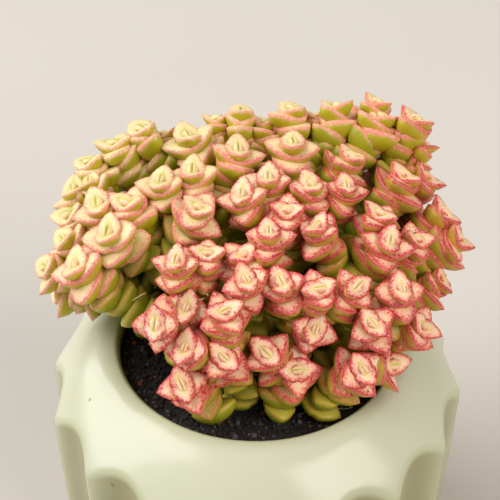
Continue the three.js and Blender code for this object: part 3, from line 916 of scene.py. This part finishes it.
class Ball:
    """A ball of few faces that leaf pairs and stems are shaped from."""

    def __init__(self, name, sides, rings):
        mesh = bmesh.new()
        bmesh.ops.create_uvsphere(mesh, u_segments=sides, v_segments=rings, radius=1)
        self.parts = [self.parts_of(vert.co) for vert in mesh.verts]
        for face in mesh.faces:
            face.smooth = True
        self.data = bpy.data.meshes.new(name)
        mesh.to_mesh(self.data)
        mesh.free()

    @staticmethod
    def parts_of(place):
        """The even station from pole to pole, and the two parts round the ring."""
        station = math.asin(clamped(abs(place.z))) / (math.pi / 2)
        ring = math.hypot(place.x, place.y)
        around = (place.x / ring, place.y / ring) if ring > POLE_RADIUS else (0, 0)
        return math.copysign(station, place.z), *around

    def add_to(self, mesh):
        """The vertices of one more copy in the mesh, each with its parts."""
        start = len(mesh.verts)
        mesh.from_mesh(self.data, face_normals=False)
        mesh.verts.ensure_lookup_table()
        return list(zip(mesh.verts[start:], self.parts))


def grow_pair(mesh, growth, ball, place, form, reaches, tone):
    """Two keeled leaves joined at their base, shaped from a ball whose poles become the leaf tips.

    place holds the middle, the leaf direction, the sideways direction and the axis. form holds the rise of
    the tips, the thickness, how round the sides are and whether the pair is a closed bud. reaches holds the
    two leaf lengths and the two half widths. tone holds age and blush. The growth colour of each vertex
    holds how near the margin it is, how far under the leaf, its age and its blush.
    """
    centre, along, across, axis = place
    rise, thickness, taper, closed = form
    age, blush = tone
    for vert, (station, side, up_down) in ball.add_to(mesh):
        out = abs(station)
        length = reaches[0] if station > 0 else reaches[1]
        half = reaches[2] if side > 0 else reaches[3]
        above = max(up_down, 0)
        if closed:
            slit = above * math.exp(-(out / SLIT_WIDTH) ** 2)
            width = half * (1 - out) ** BUD_POWER
            height = rise * above * (1 - out * out) - SLIT_DEPTH * slit
            margin = BUD_BLUSH * out
        else:
            slit = 0
            width = half * (1 - out ** taper) ** TIP_BLUNTNESS
            width *= 1 - WAIST_DEPTH * math.exp(-(out / WAIST_WIDTH) ** 2)
            fullness = 4 * out * (1 - out)
            height = rise * out ** RISE_POWER
            height += above * (LEAF_BULGE * fullness - LEAF_CUP * (1 - out) ** 2)
            height += EDGE_FULLNESS * math.sqrt(above) * (1 - out ** 3)
            margin = 1 - (1 - abs(side) ** SIDE_MARGIN_POWER) * (1 - out ** TIP_MARGIN_POWER)
        height -= thickness * (1 - out * out) ** KEEL_POWER * max(-up_down, 0)
        vert.co = centre + along * (length * station) + across * (width * side) + axis * height
        under = clamped(-up_down * UNDERSIDE_REACH)
        # A bud's slit takes the olive of old leaves as painted shade in its groove
        vert[growth] = (margin, under, mix(age, SLIT_SHADE_AGE, slit), blush)


def grow_stem(mesh, growth, ball, shoot):
    """A tapering rod along the shoot's middle line, from just below the tip into the soil or the fork."""
    first_face = len(mesh.faces)
    for vert, (station, side, up_down) in ball.add_to(mesh):
        walked = (1 - station) / 2
        down = mix(STEM_TOP, shoot.length, walked)
        axis = shoot.heading_at(down)
        first = axis.cross(VIEW_RIGHT).normalized()
        second = axis.cross(first)
        radius = STEM_RADIUS * mix(STEM_TIP_PART, 1, walked)
        vert.co = shoot.point_at(down) + first * (side * radius) + second * (up_down * radius)
        if shoot.is_main and walked == 1:
            vert.co.z -= STEM_BURIED
        vert[growth] = (0, 1, 1, 0)
    mesh.faces.ensure_lookup_table()
    for face in mesh.faces[first_face:]:
        face.material_index = 1


def pairs_of(shoot):
    """The rows of CROWN_PAIRS, then old pairs down the shoot to its base."""
    pairs = list(CROWN_PAIRS)
    down = CROWN_PAIRS[-1][0] + OLD_PAIR_STEP
    while down < shoot.length - BASE_CLEAR:
        pairs.append((down, *OLD_PAIR))
        down += OLD_PAIR_STEP
    return [pair for pair in pairs if pair[0] < shoot.length - BASE_CLEAR]


def plumpness(tip):
    back = (tip.y - PLUMP_BACK[0]) / PLUMP_BACK[1]
    left = (-tip.x - PLUMP_LEFT[0]) / PLUMP_LEFT[1]
    return clamped(max(back, left))


def grow_leaves(mesh, growth, ball, shoot, room, chance):
    """The bud and the leaf pairs down a shoot, a quarter turn apart and shortened where they lack room."""
    side = shoot.star.side.copy()
    tip = shoot.star.tip
    plump = plumpness(tip)
    size = chance.uniform(*SIZE_DRAWS) * shoot.star.size * (1 + PLUMP_SIZE * plump)
    openness = chance.uniform(*OPENNESS_DRAWS)
    taper = chance.uniform(*LEAF_TAPERS) + PLUMP_TAPER * plump
    blush = BLUSH_MIDDLE + BLUSH_TO_RIGHT * tip.x + BLUSH_TO_BACK * tip.y
    blush += chance.uniform(-BLUSH_DRAW, BLUSH_DRAW)
    for number, (down, length, half, rise, thickness) in enumerate(pairs_of(shoot)):
        age = clamped((down - AGE_START) / AGE_DEPTH)
        lean = side * chance.gauss(0, 1) + shoot.heading_at(down).cross(side) * chance.gauss(0, 1)
        axis = (shoot.heading_at(down) + lean * math.radians(mix(*PAIR_TILTS, age))).normalized()
        side = (side - axis * side.dot(axis)).normalized()
        twist = Matrix.Rotation(math.radians(mix(*PAIR_TWISTS, age) * chance.uniform(-1, 1)), 3, axis)
        along = twist @ (side if number % 2 == 0 else axis.cross(side))
        across = axis.cross(along)
        centre = shoot.point_at(down)
        rise *= openness
        wanted = [length * size * chance.uniform(*LENGTH_DRAWS) for _ in range(2)] + [half * size] * 2
        directions = (along, -along, across, -across)
        reaches = []
        for out, reach, lift in zip(directions, wanted, (rise, rise, 0, 0)):
            reaches.append(reach * room.part_free(centre, out, axis, reach, lift))
        if down > BUD_DEPTH and max(reaches) < SMALLEST_LEAF:
            continue
        if number == 0:
            ripeness = chance.uniform(*BUD_DRAWS)
            reaches = [reach * ripeness for reach in reaches]
        lift = rise * min(1, (reaches[0] + reaches[1]) / (2 * length) + LIFT_SPARE)
        form = (lift, thickness * size, taper, number == 0)
        tone = (age, clamped(blush + chance.uniform(-PAIR_BLUSH_DRAW, PAIR_BLUSH_DRAW)))
        grow_pair(mesh, growth, ball, (centre, along, across, axis), form, reaches, tone)


def make_leafy_stems(leaf, wood):
    pair_ball = Ball("pair_ball", PAIR_SEGMENTS, PAIR_RINGS)
    stem_ball = Ball("stem_ball", STEM_SIDES, STEM_RINGS)
    stems = plant_stems()
    for number, stem in enumerate(stems, 1):
        chance = random.Random(number)
        mesh = bmesh.new()
        growth = mesh.verts.layers.float_color.new("growth")
        for shoot in stem:
            grow_leaves(mesh, growth, pair_ball, shoot, Room(shoot, stem, stems), chance)
            grow_stem(mesh, growth, stem_ball, shoot)
        bmesh.ops.recalc_face_normals(mesh, faces=mesh.faces)
        piece_from(mesh, f"leaves_{number:02d}", [leaf, wood], "leaves", f"leafy_stem_{number:02d}")
    for ball in (pair_ball, stem_ball):
        bpy.data.meshes.remove(ball.data)


# Loose things on the soil and the crown
def make_fallen_leaves(leaf):
    """Plump green leaves of small shoots low in the pot, lying on the grit."""
    chance = random.Random(LOW_LEAF_SEED)
    mesh = bmesh.new()
    growth = mesh.verts.layers.float_color.new("growth")
    ball = Ball("fallen_ball", PAIR_SEGMENTS, PAIR_RINGS)
    for column, row, length, angle in LOW_LEAVES:
        place = point_on_soil(column, row)
        place.z += length * LOW_LEAF_LIFT
        turn = math.radians(angle)
        along = Vector((math.cos(turn), math.sin(turn), chance.uniform(*LOW_LEAF_TILTS))).normalized()
        across = UP.cross(along).normalized()
        setting = (place, along, across, along.cross(across))
        form = (LOW_LEAF_RISE, length * LOW_LEAF_THICKNESS, LOW_LEAF_TAPER, False)
        half = length * LOW_LEAF_HALF
        reaches = (length, length * LOW_LEAF_SHORTER, half, half)
        grow_pair(mesh, growth, ball, setting, form, reaches, LOW_LEAF_TONE)
    bpy.data.meshes.remove(ball.data)
    bmesh.ops.recalc_face_normals(mesh, faces=mesh.faces)
    piece_from(mesh, "low_leaves", [leaf], "leaves")


def make_thread(mesh, points, radius):
    """A thread of four sides through the points, closed at both ends."""
    start = points[1] - points[0]
    turn = start.to_track_quat("Z", "Y").to_matrix()
    ring = bmesh.ops.create_circle(mesh, cap_ends=True, segments=4, radius=radius)["verts"]
    bmesh.ops.rotate(mesh, verts=ring, cent=(0, 0, 0), matrix=turn)
    bmesh.ops.translate(mesh, verts=ring, vec=points[0])
    face = ring[0].link_faces[0]
    for before, after in zip(points, points[1:]):
        made = bmesh.ops.extrude_face_region(mesh, geom=[face])["geom"]
        face = next(item for item in made if isinstance(item, bmesh.types.BMFace))
        bmesh.ops.translate(mesh, verts=face.verts, vec=after - before)


def make_fibres(straw):
    """Dry wisps caught among the leaves and a fine fibre across the grit."""
    chance = random.Random(WISP_SEED)
    mesh = bmesh.new()
    for column, row, length in WISPS:
        point = point_on_crown(column, row, WISP_DEPTH)
        heading = Vector((chance.gauss(0, 1), chance.gauss(0, 1), chance.gauss(0, WISP_STEEPNESS)))
        heading.normalize()
        bend = Vector((chance.gauss(0, 1), chance.gauss(0, 1), chance.gauss(0, 1))).normalized() * WISP_BEND
        points = [point]
        for _ in range(WISP_STEPS):
            points.append(points[-1] + heading * (length / WISP_STEPS))
            heading = (heading + bend).normalized()
        make_thread(mesh, points, FIBRE_RADIUS)
    points = []
    for step in range(FIBRE_STEPS + 1):
        part = step / FIBRE_STEPS
        place = point_on_soil(*[mix(first, last, part) for first, last in zip(*FIBRE_ENDS)])
        place.y += FIBRE_SWAY * math.sin(FIBRE_WAVES * part)
        place.z = soil_height(place.x, place.y) + FIBRE_LIFT
        points.append(place)
    make_thread(mesh, points, FIBRE_RADIUS)
    bmesh.ops.recalc_face_normals(mesh, faces=mesh.faces)
    piece_from(mesh, "dry_fibres", [straw], "leaves")


# Setting
def make_floor(plaster):
    mesh = bmesh.new()
    bmesh.ops.create_grid(mesh, x_segments=2, y_segments=2, size=FLOOR_REACH)
    bmesh.ops.scale(mesh, verts=mesh.verts, vec=(MM, MM, MM))
    data = bpy.data.meshes.new("floor")
    mesh.to_mesh(data)
    mesh.free()
    data.materials.append(plaster)
    floor = bpy.data.objects.new("floor", data)
    bpy.context.scene.collection.objects.link(floor)


def make_camera():
    lens = bpy.data.cameras.new("camera")
    lens.sensor_fit = "HORIZONTAL"
    lens.angle = math.radians(VIEW_FIELD)
    lens.clip_start = CLIP_START
    camera = bpy.data.objects.new("camera", lens)
    bpy.context.scene.collection.objects.link(camera)
    camera.location = VIEW_EYE * MM
    camera.rotation_euler = (-VIEW_BACK).to_track_quat("-Z", "Y").to_euler()
    bpy.context.scene.camera = camera


def make_light(name, place, size, power, colour):
    lamp = bpy.data.lights.new(name, "AREA")
    lamp.size = size
    lamp.energy = power
    lamp.color = linear(colour)[:3]
    light = bpy.data.objects.new(name, lamp)
    bpy.context.scene.collection.objects.link(light)
    light.location = place
    light.rotation_euler = (LIGHT_AIM - Vector(place)).to_track_quat("-Z", "Y").to_euler()


def make_room():
    world = bpy.data.worlds.new("room")
    world.use_nodes = True
    background = world.node_tree.nodes["Background"]
    background.inputs["Color"].default_value = linear(ROOM_COLOUR)
    background.inputs["Strength"].default_value = ROOM_STRENGTH
    bpy.context.scene.world = world


make_camera()
for light_values in LIGHTS:
    make_light(*light_values)
make_room()
make_floor(pale_plaster())
make_pot(celadon_glaze())
charcoal = bare_grit()
make_soil(charcoal)
make_grains(charcoal)
leaf_skin = living_leaf()
make_leafy_stems(leaf_skin, green_wood())
make_fallen_leaves(leaf_skin)
make_fibres(dry_fibre())

bpy.context.scene.view_settings.view_transform = "Standard"
